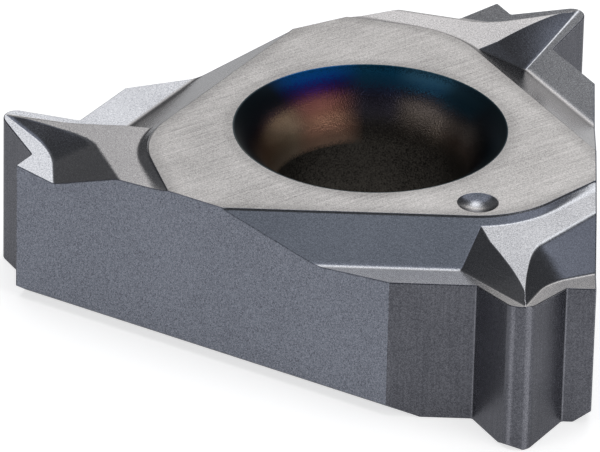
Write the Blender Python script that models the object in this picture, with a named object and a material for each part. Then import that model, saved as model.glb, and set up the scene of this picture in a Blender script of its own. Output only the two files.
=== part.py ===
"""Laydown threading insert with three ground 60 degree teeth, a pressed chip breaker and a screw hole.

The insert lies on its seat face, z = 0, with the hole's axis upright. The first tooth points along -Y, and
the other two corners are the first one turned by a third of a turn about the hole's axis. Every shape is
drawn about that axis, which an empty then carries so that the middle of the plan box is at the origin. Sizes
are in metres.
"""
import math

import bmesh
import bpy
from mathutils import Matrix, Vector

MM = 0.001
INCH = 25.4 * MM

# Blank: a triangle with three cutting corners
CORNERS = 3
INSCRIBED_CIRCLE = 9.525 * MM
APOTHEM = INSCRIBED_CIRCLE / 2
THICKNESS = 3.66 * MM
FOOT_CHAMFER_WIDTH = 0.37 * MM
FOOT_CHAMFER_HEIGHT = 0.27 * MM

# Ground end of a corner: the shoulder stands out past the inscribed circle
SHOULDER_STAND_OUT = 1.04 * MM
SHOULDER = APOTHEM + SHOULDER_STAND_OUT

# Tooth with the full profile of the thread, whose crest it leaves an eighth of the pitch wide
THREADS_PER_INCH = 12
PITCH = INCH / THREADS_PER_INCH
TOOTH_ROOT_WIDTH = PITCH - PITCH / 8
TOOTH_TIP_RADIUS = PITCH / 6
FLANK_ANGLE = math.radians(30)
TOOTH_FROM_SIDE = 1.53 * MM
TOOTH_AXIS = APOTHEM - TOOTH_FROM_SIDE
NOTCH_RADIUS = 0.08 * MM

# Rake face: rises from the valley line towards the cutting edge
RAKE_LENGTH = 0.89 * MM
RAKE_ANGLE = math.radians(10)
VALLEY = SHOULDER - RAKE_LENGTH
VALLEY_DEPTH = 0.655 * MM

# Chip breaker ahead of the tooth: a slope from the top land down to the valley
SLOPE_LENGTH = 1.16 * MM
LAND_EDGE = VALLEY - SLOPE_LENGTH

# Ridge behind the cutting edge, whose wall leaves the valley line ahead of the tooth
RIDGE_ROOT_DEPTH = 0.11 * MM
RIDGE_FALL = math.radians(2.7)
RIDGE_WALL_LEAD = 1.25 * MM
RIDGE_WALL_SLOPE = math.radians(37.2)
RIDGE_WALL_TURN = math.radians(21)

# Step from the ridge up to the top land, round the corner of the land
LAND_CORNER_FROM_SIDE = 1.60 * MM
LAND_CORNER_RADIUS = 2.0 * MM
LAND_TURN = math.radians(46.5)
STEP_WIDTH = 0.12 * MM

# Trough after the tooth: a sloped wall swept from the tooth's tip, round a bend and out through the side face
TROUGH_BEND_FROM_SIDE = 1.03 * MM
TROUGH_BEND_FROM_SHOULDER = 0.26 * MM
TROUGH_TIP_HEADING = math.radians(73.6)
TROUGH_SIDE_HEADING = math.radians(34.6)
TROUGH_RADIUS = 1.5 * MM
TROUGH_TIP_SLOPE = math.radians(41)
TROUGH_SIDE_SLOPE = math.radians(27.5)

# Screw hole with a rounded countersink
HOLE_RADIUS = 2.02 * MM
SEAT_RADIUS = 2.88 * MM
SEAT_DEPTH = 1.45 * MM

# Index dimple in the top land, beside the first corner
DIMPLE_FROM_TOOTH_AXIS = 0.94 * MM
DIMPLE_FROM_LAND_EDGE = 0.57 * MM
DIMPLE_RADIUS = 0.43 * MM
DIMPLE_DEPTH = 0.17 * MM

# Smoothness
ARC_STEPS = 10
NOTCH_STEPS = 4
HOLE_SEGMENTS = 72
SEAT_STEPS = 12
DIMPLE_SEGMENTS = 32

# Room that a cutter has around the piece, and a distance past every corner
CLEAR = 2.0 * MM
CLEAR_ABOVE = 0.08 * MM
REACH = 3 * APOTHEM
WELD_DISTANCE = 0.001 * MM

AXIS_NAME = "hole_axis"
COLOUR = (0.32, 0.31, 0.32, 1.0)
METALLIC = 0.9
ROUGHNESS = 0.38


def clear_scene():
    """Removes every object of the start-up scene."""
    for old in list(bpy.data.objects):
        bpy.data.objects.remove(old, do_unlink=True)


def carbide_finish():
    """Coated carbide, seen from a step away."""
    finish = bpy.data.materials.new("coated_carbide")
    finish.use_nodes = True
    shader = finish.node_tree.nodes["Principled BSDF"]
    shader.inputs["Base Color"].default_value = COLOUR
    shader.inputs["Metallic"].default_value = METALLIC
    shader.inputs["Roughness"].default_value = ROUGHNESS
    return finish


def corner_turn(index):
    """The turn that brings the first corner to the given one."""
    return Matrix.Rotation(math.tau * index / CORNERS, 4, "Z")


def hole_axis():
    """The empty on the hole's axis. It carries all the rest, and puts the plan box's middle at the origin."""
    outline = plan_outline()
    middle = [(min(line) + max(line)) / 2 for line in zip(*[point.xy for point in outline])]
    axis = bpy.data.objects.new(AXIS_NAME, None)
    axis.location = (-middle[0], -middle[1], 0)
    bpy.context.scene.collection.objects.link(axis)


def carried(made):
    """Links an object and hangs it on the hole's axis."""
    bpy.context.scene.collection.objects.link(made)
    made.parent = bpy.data.objects[AXIS_NAME]
    return made


def new_object(name, mesh_builder, finish=None):
    """An object made from a closed bmesh, with its faces pointing out."""
    bmesh.ops.recalc_face_normals(mesh_builder, faces=mesh_builder.faces)
    mesh = bpy.data.meshes.new(name)
    mesh_builder.to_mesh(mesh)
    mesh_builder.free()
    if finish is not None:
        mesh.materials.append(finish)
    return carried(bpy.data.objects.new(name, mesh))


def as_tool(made):
    """Marks an object as a cutting tool: shown as wires and left out of renders."""
    made.hide_render = True
    made.display_type = "WIRE"
    return made


def tool_of(name, mesh_builder):
    """A cutting tool made from a closed bmesh."""
    return as_tool(new_object(name, mesh_builder))


def cut(body, tool):
    """Takes the tool's volume out of the body."""
    step = body.modifiers.new("cut " + tool.name, "BOOLEAN")
    step.operation = "DIFFERENCE"
    step.solver = "EXACT"
    step.object = tool


def loft(lower, upper):
    """A closed bmesh between two rings of points that have the same count."""
    shape = bmesh.new()
    low = [shape.verts.new(point) for point in lower]
    high = [shape.verts.new(point) for point in upper]
    shape.faces.new(reversed(low))
    shape.faces.new(high)
    for index in range(len(low)):
        after = (index + 1) % len(low)
        shape.faces.new((low[index], low[after], high[after], high[index]))
    return shape


def fillet(before, corner, after, radius, steps):
    """The centre of the arc that rounds a corner, and the directions from it to the arc's points."""
    corner = Vector(corner)
    back = (Vector(before) - corner).normalized()
    ahead = (Vector(after) - corner).normalized()
    half = back.angle(ahead) / 2
    centre = corner + (back + ahead).normalized() * (radius / math.sin(half))
    first = corner + back * (radius / math.tan(half)) - centre
    last = corner + ahead * (radius / math.tan(half)) - centre
    sweep = first.angle_signed(last)
    turns = [Matrix.Rotation(-sweep * step / steps, 2) for step in range(steps + 1)]
    return centre, [(turn @ first).normalized() for turn in turns]


def rounded(before, corner, after, radius, steps):
    """The points of the arc that rounds a corner."""
    centre, rays = fillet(before, corner, after, radius, steps)
    return [centre + ray * radius for ray in rays]


def rake_height(y):
    """Height of the rake face at a distance -y from the hole's axis."""
    return THICKNESS - VALLEY_DEPTH + (-y - VALLEY) * math.tan(RAKE_ANGLE)


def ridge_height(y):
    """Height of the ridge's top, which falls a little towards the tip."""
    return THICKNESS - RIDGE_ROOT_DEPTH - (-y - LAND_EDGE) * math.tan(RIDGE_FALL)


def side_crossing(y):
    """Where the line at this y meets the side face before the first tooth."""
    return (-y * math.sin(math.tau / CORNERS) - APOTHEM) / -math.cos(math.tau / CORNERS)


def corner_profile():
    """Plan outline of one corner, from the side face before the tooth to the side face after it."""
    half_root = TOOTH_ROOT_WIDTH / 2
    apex = (TOOTH_AXIS, -SHOULDER - half_root / math.tan(FLANK_ANGLE))
    start = (side_crossing(-SHOULDER), -SHOULDER)
    root_in = (TOOTH_AXIS - half_root, -SHOULDER)
    root_out = (TOOTH_AXIS + half_root, -SHOULDER)
    end = (APOTHEM, -SHOULDER)
    return [
        Vector(start),
        *rounded(start, root_in, apex, NOTCH_RADIUS, NOTCH_STEPS),
        *rounded(root_in, apex, root_out, TOOTH_TIP_RADIUS, ARC_STEPS),
        *rounded(apex, root_out, end, NOTCH_RADIUS, NOTCH_STEPS),
        Vector(end),
    ]


def plan_outline():
    """Plan outline of the whole insert, at the height of its seat face."""
    return [corner_turn(index) @ point.to_3d() for index in range(CORNERS) for point in corner_profile()]


def blank(finish):
    """The upright prism with the ground profile of the three corners."""
    outline = plan_outline()
    top = [point + Vector((0, 0, THICKNESS)) for point in outline]
    return new_object("insert_body", loft(outline, top), finish)


def foot_chamfer_tool():
    """Wedge that bevels the foot of the side face after the first corner."""
    slant = Vector((FOOT_CHAMFER_WIDTH, 0, FOOT_CHAMFER_HEIGHT))
    inner = Vector((APOTHEM - FOOT_CHAMFER_WIDTH, 0, 0))
    reach = Vector((0, INSCRIBED_CIRCLE, 0))
    below = inner - slant
    outside = inner + Vector((2 * CLEAR, 0, -CLEAR))
    above = inner + slant * (CLEAR / FOOT_CHAMFER_HEIGHT)
    section = (below, outside, above)
    wedge = loft([point - reach for point in section], [point + reach for point in section])
    return tool_of("foot_chamfer", wedge)


def slope_pocket_tool():
    """The space above the slope, the rake face and the ridge's wall ahead of the first tooth."""
    shape = bmesh.new()
    bmesh.ops.create_cube(shape, size=1.0)
    low = Vector((-REACH, -REACH, 0))
    high = Vector((REACH, 0, THICKNESS + CLEAR))
    for point in shape.verts:
        point.co = low + Vector([(share + 0.5) * room for share, room in zip(point.co, high - low)])
    valley = Vector((0, -VALLEY, THICKNESS - VALLEY_DEPTH))
    slope = Vector((0, -VALLEY_DEPTH, VALLEY - LAND_EDGE))
    rake = Vector((0, math.sin(RAKE_ANGLE), math.cos(RAKE_ANGLE)))
    wall_start = valley + Vector((TOOTH_AXIS - RIDGE_WALL_LEAD, 0, 0))
    down = Vector((-math.cos(RIDGE_WALL_TURN), -math.sin(RIDGE_WALL_TURN), 0)) * math.sin(RIDGE_WALL_SLOPE)
    wall = down + Vector((0, 0, math.cos(RIDGE_WALL_SLOPE)))
    for place, normal in ((valley, slope), (valley, rake), (wall_start, wall)):
        whole = shape.verts[:] + shape.edges[:] + shape.faces[:]
        kept = bmesh.ops.bisect_plane(shape, geom=whole, plane_co=place, plane_no=normal, clear_inner=True)
        rim = [edge for edge in kept["geom_cut"] if isinstance(edge, bmesh.types.BMEdge)]
        bmesh.ops.contextual_create(shape, geom=rim)
    return tool_of("slope_pocket", shape)


def raised(lower, upper, height):
    """The point at a height on the line through a lower and an upper point."""
    return lower + (upper - lower) * ((height - lower.z) / (upper.z - lower.z))


def step_tool():
    """The space above the ridge, outside the step that goes round the top land's corner.

    The step starts flush with the slope ahead of the tooth and narrows to its own width along the bend.
    """
    ahead = Vector((math.cos(LAND_TURN), math.sin(LAND_TURN)))
    corner = Vector((APOTHEM - LAND_CORNER_FROM_SIDE, -LAND_EDGE))
    centre, rays = fillet(corner - Vector((1, 0)), corner, corner + ahead, LAND_CORNER_RADIUS, ARC_STEPS)
    run_out = ahead * ((LAND_CORNER_FROM_SIDE + CLEAR) / ahead.x)
    flush = RIDGE_ROOT_DEPTH / (VALLEY_DEPTH / (VALLEY - LAND_EDGE) - math.tan(RIDGE_FALL))
    widths = [flush + (STEP_WIDTH - flush) * step / ARC_STEPS for step in range(ARC_STEPS + 1)]
    top = [centre + ray * LAND_CORNER_RADIUS for ray in rays] + [corner + run_out]
    foot = [centre + ray * (LAND_CORNER_RADIUS + width) for ray, width in zip(rays, widths)]
    foot.append(corner + run_out + rays[-1] * STEP_WIDTH)
    roof = THICKNESS + CLEAR_ABOVE
    low = [Vector((*point, ridge_height(point.y))) for point in foot]
    high = [raised(below, Vector((*above, THICKNESS)), roof) for below, above in zip(low, top)]
    inner = foot[0] - Vector((STEP_WIDTH, STEP_WIDTH))
    around = [Vector((APOTHEM + CLEAR, -REACH)), Vector((inner.x, -REACH)), inner]
    low += [Vector((*point, ridge_height(point.y))) for point in around]
    high += [Vector((*point, roof)) for point in around]
    return tool_of("step", loft(low, high))


def trough_tool():
    """The space above the swept wall and the rake face after the first tooth."""
    bend = Vector((APOTHEM - TROUGH_BEND_FROM_SIDE, TROUGH_BEND_FROM_SHOULDER - SHOULDER))
    lead = bend - Vector((math.cos(TROUGH_TIP_HEADING), math.sin(TROUGH_TIP_HEADING))) * CLEAR
    ahead = Vector((math.cos(TROUGH_SIDE_HEADING), math.sin(TROUGH_SIDE_HEADING)))
    out = bend + ahead * ((TROUGH_BEND_FROM_SIDE + CLEAR) / ahead.x)
    centre, rays = fillet(lead, bend, out, TROUGH_RADIUS, ARC_STEPS)
    foot = [lead, *[centre + ray * TROUGH_RADIUS for ray in rays], out]
    ways = [rays[0], *rays, rays[-1]]
    shares = [0, *[step / ARC_STEPS for step in range(ARC_STEPS + 1)], 1]
    slopes = [TROUGH_TIP_SLOPE + (TROUGH_SIDE_SLOPE - TROUGH_TIP_SLOPE) * share for share in shares]
    roof = THICKNESS + CLEAR_ABOVE
    low = [Vector((*point, rake_height(point.y))) for point in foot]
    high = []
    for below, way, slope in zip(low, ways, slopes):
        run = way * ((roof - below.z) / math.tan(slope))
        high.append(Vector((below.x + run.x, below.y + run.y, roof)))
    far = [Vector((APOTHEM + CLEAR, -SHOULDER - CLEAR)), Vector((lead.x, -SHOULDER - CLEAR))]
    low += [Vector((*point, rake_height(point.y))) for point in far]
    high += [Vector((*point, roof)) for point in far]
    return tool_of("trough", loft(low, high))


def hole_tool():
    """Turned cutter of the through hole and its rounded countersink."""
    wide = SEAT_RADIUS - HOLE_RADIUS
    bend = (wide * wide + SEAT_DEPTH * SEAT_DEPTH) / (2 * wide)
    sweep = math.asin(SEAT_DEPTH / bend)
    shape = bmesh.new()
    outer = [(SEAT_RADIUS + CLEAR_ABOVE * math.tan(sweep), THICKNESS + CLEAR_ABOVE)]
    for step in range(SEAT_STEPS + 1):
        angle = sweep * (1 - step / SEAT_STEPS)
        radius = HOLE_RADIUS + bend * (1 - math.cos(angle))
        outer.append((radius, THICKNESS - SEAT_DEPTH + bend * math.sin(angle)))
    outer.append((HOLE_RADIUS, -CLEAR))
    chain = [shape.verts.new((radius, 0, z)) for radius, z in outer]
    profile = chain + [shape.edges.new(pair) for pair in zip(chain, chain[1:])]
    bmesh.ops.spin(shape, geom=profile, axis=(0, 0, 1), cent=(0, 0, 0), angle=math.tau, steps=HOLE_SEGMENTS)
    bmesh.ops.remove_doubles(shape, verts=shape.verts, dist=WELD_DISTANCE)
    bmesh.ops.holes_fill(shape, edges=[edge for edge in shape.edges if edge.is_boundary], sides=0)
    return tool_of("screw_hole", shape)


def dimple_tool():
    """Ball that presses the index dimple into the top land."""
    ball = (DIMPLE_RADIUS ** 2 + DIMPLE_DEPTH ** 2) / (2 * DIMPLE_DEPTH)
    shape = bmesh.new()
    bmesh.ops.create_uvsphere(shape, u_segments=DIMPLE_SEGMENTS, v_segments=DIMPLE_SEGMENTS, radius=ball)
    place = (TOOTH_AXIS - DIMPLE_FROM_TOOTH_AXIS, DIMPLE_FROM_LAND_EDGE - LAND_EDGE)
    centre = Vector((*place, THICKNESS - DIMPLE_DEPTH + ball))
    bmesh.ops.translate(shape, verts=shape.verts, vec=centre)
    return tool_of("dimple", shape)


def turned_copies(tool):
    """The tool for each corner: the first one, and copies that share its mesh."""
    tools = [tool]
    for index in range(1, CORNERS):
        other = as_tool(carried(bpy.data.objects.new("%s_%d" % (tool.name, index + 1), tool.data)))
        other.matrix_basis = corner_turn(index)
        tools.append(other)
    return tools


def build():
    """Makes the insert: one solid, cut by the tools of each corner."""
    clear_scene()
    hole_axis()
    body = blank(carbide_finish())
    cut(body, hole_tool())
    for tool in (foot_chamfer_tool(), slope_pocket_tool(), step_tool(), trough_tool()):
        for copy in turned_copies(tool):
            cut(body, copy)
    cut(body, dimple_tool())


build()
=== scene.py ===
"""Looks of a laydown threading insert of coated cemented carbide, in a plain studio.

The insert is one pressed and ground piece. Its visible surface is one fine mesh in the solid's own place: a
height field over the plan for the top and the seat face, a turned band for the screw hole, and upright bands
for the ground flanks and the side faces. Sizes are in millimetres about the hole's axis, and z is measured
from the top land. The mesh is written in metres.
"""
import logging
import math
from collections.abc import Callable
from dataclasses import dataclass, field
from enum import Enum

import bmesh
import bpy
import numpy as np
from mathutils import Matrix, Vector
from mathutils.geometry import delaunay_2d_cdt
from mathutils.kdtree import KDTree


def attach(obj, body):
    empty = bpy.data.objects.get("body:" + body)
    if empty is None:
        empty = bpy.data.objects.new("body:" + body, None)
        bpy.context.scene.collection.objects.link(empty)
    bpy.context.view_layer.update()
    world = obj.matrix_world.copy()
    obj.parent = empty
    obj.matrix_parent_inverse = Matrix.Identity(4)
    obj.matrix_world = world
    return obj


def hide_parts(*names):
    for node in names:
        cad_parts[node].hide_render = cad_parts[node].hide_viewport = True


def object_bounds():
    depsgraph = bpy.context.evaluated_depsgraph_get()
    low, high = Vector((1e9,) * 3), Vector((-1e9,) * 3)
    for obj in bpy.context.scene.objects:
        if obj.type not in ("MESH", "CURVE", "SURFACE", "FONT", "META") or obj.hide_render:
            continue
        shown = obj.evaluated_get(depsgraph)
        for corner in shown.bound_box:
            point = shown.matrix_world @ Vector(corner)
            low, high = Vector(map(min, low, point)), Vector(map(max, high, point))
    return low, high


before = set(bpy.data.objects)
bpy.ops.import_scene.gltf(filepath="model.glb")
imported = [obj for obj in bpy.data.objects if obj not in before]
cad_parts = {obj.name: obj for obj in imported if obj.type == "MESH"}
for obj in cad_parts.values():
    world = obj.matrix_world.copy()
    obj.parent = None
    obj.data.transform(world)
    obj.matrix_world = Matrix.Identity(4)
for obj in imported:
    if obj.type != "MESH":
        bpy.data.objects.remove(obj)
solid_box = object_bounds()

log = logging.getLogger("threading_insert")

MM = 0.001
CORNERS = 3
THIRD = math.tau / CORNERS
BODY_NODE = "insert_body"
LAND_GAP = "land_gap"
INCH = 25.4
TINY = 1e-9
LEAST_RISE = 1e-12
RING_BATCH = 4000
LEAST_ARC_STEPS = 4
NOISE_SPAN = (0.3, 0.7)
WHITE = (1.0, 1.0, 1.0)
BLACK = (0.0, 0.0, 0.0)
Surface = Callable[[np.ndarray], np.ndarray]
Colour = tuple[float, float, float]
Points = tuple[tuple[float, float], ...]
Bands = list[tuple[float, Colour]]
Socket = bpy.types.NodeSocket


class Region(Enum):
    """Finished areas of the insert. The value is the material's place on the mesh."""

    LAND = 0
    PRESSED = 1
    SIDE = 2
    FLANK = 3
    SEAT = 4
    BORE = 5
    BASE = 6


def smooth_max(first: np.ndarray, second: np.ndarray, blend: float) -> np.ndarray:
    """Greater of two heights, rounded where they cross.

    Args:
        first: Heights of one surface.
        second: Heights of the other.
        blend: Difference in height at which the rounding begins.

    Returns:
        The rounded upper envelope.
    """
    overlap = np.maximum(blend - np.abs(first - second), 0.0)
    return np.maximum(first, second) + overlap * overlap / (4.0 * blend)


def smooth_min(first: np.ndarray, second: np.ndarray, blend: float) -> np.ndarray:
    """Lesser of two heights, rounded where they cross. Takes the same arguments as smooth_max."""
    return -smooth_max(-first, -second, blend)


def turned(points: np.ndarray, angle: float) -> np.ndarray:
    """Points in plan, turned about the hole's axis."""
    cosine, sine = math.cos(angle), math.sin(angle)
    x, y = points.T
    return np.stack([x * cosine - y * sine, x * sine + y * cosine], 1)


def unit(vector: np.ndarray) -> np.ndarray:
    """The vector at a length of one."""
    return vector / np.linalg.norm(vector)


def spaced(start: np.ndarray, end: np.ndarray, step: float) -> np.ndarray:
    """Evenly spaced points of a straight run, with both its ends."""
    count = max(1, math.ceil(np.linalg.norm(end - start) / step))
    share = np.linspace(0.0, 1.0, count + 1)[:, None]
    return start + (end - start) * share


@dataclass(frozen=True)
class Bend:
    """A plan line that runs straight, round an arc, and straight on.

    Distances from it are positive on the outer side of the arc.
    """

    corner: tuple[float, float]
    first_heading: float
    last_heading: float
    radius: float

    @property
    def turn(self) -> float:
        """Signed turn from the first heading to the last."""
        return self.last_heading - self.first_heading

    @property
    def centre(self) -> np.ndarray:
        """Centre of the arc."""
        middle = (self.first_heading + self.last_heading) / 2
        reach = self.radius / math.cos(self.turn / 2)
        return np.array(self.corner) - self.outward(middle) * reach

    def outward(self, heading: float) -> np.ndarray:
        """Unit vector to the outer side of the line where it has this heading."""
        side = math.copysign(1.0, self.turn)
        return side * np.array([math.sin(heading), -math.cos(heading)])

    def measure(self, points: np.ndarray) -> tuple[np.ndarray, np.ndarray, np.ndarray]:
        """Places points against the line.

        Args:
            points: Plan points, one a row.

        Returns:
            The signed distance of each, its share of the arc, and its foot on the line.
        """
        offset = points - self.centre
        middle = self.outward((self.first_heading + self.last_heading) / 2)
        across = np.arctan2(middle[0] * offset[:, 1] - middle[1] * offset[:, 0], offset @ middle)
        share = 0.5 + across / self.turn
        distance = np.linalg.norm(offset, axis=1)
        foot = self.centre + offset * (self.radius / np.maximum(distance, TINY))[:, None]
        distance = distance - self.radius
        for past, heading in ((share < 0.0, self.first_heading), (share > 1.0, self.last_heading)):
            normal = self.outward(heading)
            straight = offset @ normal - self.radius
            distance = np.where(past, straight, distance)
            foot = np.where(past[:, None], points - straight[:, None] * normal, foot)
        return distance, np.clip(share, 0.0, 1.0), foot

    def trace(self, lead: float, run_out: float, step: float) -> tuple[np.ndarray, np.ndarray, np.ndarray]:
        """Points along the line.

        Args:
            lead: Length of the straight run before the arc.
            run_out: Length of the straight run after it.
            step: Distance between points.

        Returns:
            The points, the outward unit vector at each, and each one's share of the arc.
        """
        arc_steps = max(2, math.ceil(abs(self.turn) * self.radius / step))
        before = np.zeros(max(2, math.ceil(lead / step)))
        after = np.ones(max(2, math.ceil(run_out / step)))
        share = np.concatenate([before, np.linspace(0.0, 1.0, arc_steps + 1), after])
        headings = self.first_heading + self.turn * share
        normals = np.array([self.outward(heading) for heading in headings])
        along = np.stack([np.cos(headings), np.sin(headings)], 1)
        past = np.zeros(len(share))
        past[:len(before)] = np.linspace(-lead, 0.0, len(before), endpoint=False)
        past[-len(after):] = np.linspace(run_out, 0.0, len(after), endpoint=False)[::-1]
        points = self.centre + normals * self.radius + along * past[:, None]
        return points, normals, share


@dataclass(frozen=True)
class Blank:
    """The pressed and ground triangle."""

    inscribed_circle: float = 9.525
    thickness: float = 3.66
    chamfer_width: float = 0.37
    chamfer_height: float = 0.27
    chamfer_blend: float = 0.008
    shoulder_stand_out: float = 1.04

    @property
    def apothem(self) -> float:
        """Distance from the hole's axis to each long side face."""
        return self.inscribed_circle / 2

    @property
    def shoulder(self) -> float:
        """Distance from the hole's axis to the ground end of a corner."""
        return self.apothem + self.shoulder_stand_out

    def side_normals(self) -> np.ndarray:
        """Outward unit vectors of the three side faces."""
        angles = THIRD * np.arange(CORNERS)
        return np.stack([np.cos(angles), np.sin(angles)], 1)

    def floor_height(self, points: np.ndarray) -> np.ndarray:
        """Height of the underside, which the foot chamfers raise beside the side faces."""
        reach = (points @ self.side_normals().T).max(axis=1)
        rise = (reach - self.apothem + self.chamfer_width) * (self.chamfer_height / self.chamfer_width)
        return smooth_max(np.zeros(len(points)), rise, self.chamfer_blend) - self.thickness


@dataclass(frozen=True)
class Tooth:
    """Ground tooth with the full profile of a sixty degree thread, seen in plan."""

    threads_per_inch: float = 12
    flank_angle: float = math.radians(30)
    from_side: float = 1.53
    notch_radius: float = 0.08
    corner_radius: float = 0.035

    @property
    def pitch(self) -> float:
        """Pitch of the thread."""
        return INCH / self.threads_per_inch

    @property
    def root_width(self) -> float:
        """Width of the tooth at its root. It leaves the thread's crest an eighth of the pitch wide."""
        return self.pitch - self.pitch / 8

    @property
    def tip_radius(self) -> float:
        """Radius of the tooth's tip."""
        return self.pitch / 6

    def profile(self, blank: Blank) -> list[tuple[np.ndarray, float]]:
        """Corner points of the ground profile, each with the radius that rounds it.

        Args:
            blank: The triangle that the profile ends.

        Returns:
            The points from the side face before the tooth to the side face after it.
        """
        axis = blank.apothem - self.from_side
        half = self.root_width / 2
        depth = -blank.shoulder
        start = (blank.shoulder * math.sin(THIRD) - blank.apothem) / -math.cos(THIRD)
        apex = depth - half / math.tan(self.flank_angle)
        return [
            (np.array([start, depth]), self.corner_radius),
            (np.array([axis - half, depth]), self.notch_radius),
            (np.array([axis, apex]), self.tip_radius),
            (np.array([axis + half, depth]), self.notch_radius),
            (np.array([blank.apothem, depth]), self.corner_radius),
        ]


@dataclass(frozen=True)
class CreaseRows:
    """Places of the mesh's rows across each crease of the chip breaker, and their spacing along it."""

    step: float = 0.06
    land: tuple[float, ...] = (-0.012, 0.0, 0.008, 0.016, 0.024, 0.05)
    foot: tuple[float, ...] = (-0.04, -0.02, 0.0, 0.02, 0.04)
    valley: tuple[float, ...] = (-0.14, -0.09, -0.04, 0.01, 0.06, 0.11, 0.16)
    crest: tuple[float, ...] = (-0.018, 0.0, 0.018)
    junction: tuple[float, ...] = (-0.03, -0.01, 0.01, 0.03)
    trough: tuple[float, ...] = (-0.05, -0.02, 0.0, 0.02, 0.05)
    wall_span: tuple[float, float] = (-1.2, 2.5)
    wall_points: int = 74


@dataclass(frozen=True)
class ChipBreaker:
    """Pressed surfaces of one corner, seen with its tooth along -Y."""

    blank: Blank = Blank()
    tooth: Tooth = Tooth()
    rows: CreaseRows = CreaseRows()
    rake_length: float = 0.89
    rake_angle: float = math.radians(10)
    valley_depth: float = 0.655
    slope_length: float = 1.16
    ridge_root_depth: float = 0.11
    ridge_fall: float = math.radians(2.7)
    wall_lead: float = 1.25
    wall_slope: float = math.radians(37.2)
    wall_turn: float = math.radians(21)
    wall_tip_slope: float = 0.46
    wall_reach: float = 1.2
    land_corner_from_side: float = 1.655
    land_corner_radius: float = 2.2
    land_turn: float = math.radians(46.5)
    step_width: float = 0.20
    trough_from_side: float = 1.03
    trough_from_shoulder: float = 0.26
    trough_tip_heading: float = math.radians(73.6)
    trough_side_heading: float = math.radians(34.6)
    trough_radius: float = 1.5
    trough_tip_slope: float = math.radians(41)
    trough_side_slope: float = math.radians(27.5)
    valley_blend: float = 0.075
    slope_wall_blend: float = 0.02
    wall_foot_blend: float = 0.022
    step_foot_blend: float = 0.022
    trough_foot_blend: float = 0.035
    trough_crest_blend: float = 0.035
    edge_blend: float = 0.006
    lip_height: float = 0.018
    lip_slope: float = 1.0

    @property
    def valley(self) -> float:
        """Distance from the hole's axis to the valley line."""
        return self.blank.shoulder - self.rake_length

    @property
    def land_edge(self) -> float:
        """Distance from the hole's axis to the straight edge of the top land."""
        return self.valley - self.slope_length

    @property
    def slope(self) -> float:
        """Steepness of the slope between the top land and the valley."""
        return self.valley_depth / self.slope_length

    @property
    def wall_start(self) -> np.ndarray:
        """Place on the valley line where the ridge's wall begins."""
        return np.array([self.blank.apothem - self.tooth.from_side - self.wall_lead, -self.valley])

    @property
    def wall_run(self) -> np.ndarray:
        """Unit vector along the foot of the ridge's wall, towards the tip."""
        steep = math.tan(self.wall_slope)
        gradient = np.array([steep * math.cos(self.wall_turn), steep * math.sin(self.wall_turn)])
        gradient[1] += math.tan(self.rake_angle)
        return unit(np.array([gradient[1], -gradient[0]]))

    @property
    def wall_rise(self) -> float:
        """Steepness of the ridge's wall over the rake face, where it begins."""
        steep = math.tan(self.wall_slope)
        sideways = math.cos(self.wall_turn) * steep
        return math.hypot(sideways, math.sin(self.wall_turn) * steep + math.tan(self.rake_angle))

    @property
    def junction_run(self) -> np.ndarray:
        """Line in plan along which the slope meets the ridge's wall, from the valley to the ridge's top."""
        across = np.array([-self.wall_run[1], self.wall_run[0]]) * self.wall_rise
        across[1] -= math.tan(self.rake_angle)
        gradient = across - np.array([0.0, self.slope])
        along = np.array([-gradient[1], gradient[0]]) / gradient[0]
        return along * (self.slope_length - self.step_lead_width)

    @property
    def land_bend(self) -> Bend:
        """Edge of the top land: straight ahead of the tooth, then round the land's corner."""
        corner = (self.blank.apothem - self.land_corner_from_side, -self.land_edge)
        return Bend(corner, 0.0, self.land_turn, self.land_corner_radius)

    @property
    def trough_bend(self) -> Bend:
        """Foot of the trough's wall, from the tip to the side face."""
        corner = (self.blank.apothem - self.trough_from_side, self.trough_from_shoulder - self.blank.shoulder)
        return Bend(corner, self.trough_tip_heading, self.trough_side_heading, self.trough_radius)

    @property
    def step_lead_width(self) -> float:
        """Width of the step where it runs flush with the slope."""
        return self.ridge_root_depth / (self.slope - math.tan(self.ridge_fall))

    def step_widths(self, share: np.ndarray) -> np.ndarray:
        """Width of the step at a share of the land's bend."""
        return self.step_lead_width + (self.step_width - self.step_lead_width) * share

    def rake(self, y: np.ndarray) -> np.ndarray:
        """Height of the rake face."""
        return -self.valley_depth + (-y - self.valley) * math.tan(self.rake_angle)

    def ridge(self, y: np.ndarray) -> np.ndarray:
        """Height of the ridge's top."""
        return -self.ridge_root_depth - (-y - self.land_edge) * math.tan(self.ridge_fall)

    def wall_steepness(self, run: np.ndarray) -> np.ndarray:
        """Steepness of the ridge's wall over the rake face, which eases towards the tip."""
        length = (self.blank.shoulder + self.wall_reach - self.valley) / -self.wall_run[1]
        share = np.clip(run / length, 0.0, 1.0)
        return self.wall_rise + (self.wall_tip_slope - self.wall_rise) * share

    def wall(self, points: np.ndarray) -> np.ndarray:
        """Height of the ridge's wall on the side of the slope."""
        offset = points - self.wall_start
        away = offset @ np.array([-self.wall_run[1], self.wall_run[0]])
        return self.rake(points[:, 1]) + self.wall_steepness(offset @ self.wall_run) * away

    def step(self, points: np.ndarray) -> np.ndarray:
        """Height of the step that goes round the land's corner."""
        distance, share, foot = self.land_bend.measure(points)
        width = self.step_widths(share)
        sideways = (points[:, 1] - foot[:, 1]) / np.where(np.abs(distance) < TINY, TINY, distance)
        return self.ridge(foot[:, 1] + sideways * width) * distance / width

    def trough_slope(self, share: np.ndarray) -> np.ndarray:
        """Steepness of the trough's wall at a share of its bend, eased at both ends."""
        eased = share * share * (3.0 - 2.0 * share)
        return np.tan(self.trough_tip_slope + (self.trough_side_slope - self.trough_tip_slope) * eased)

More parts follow.
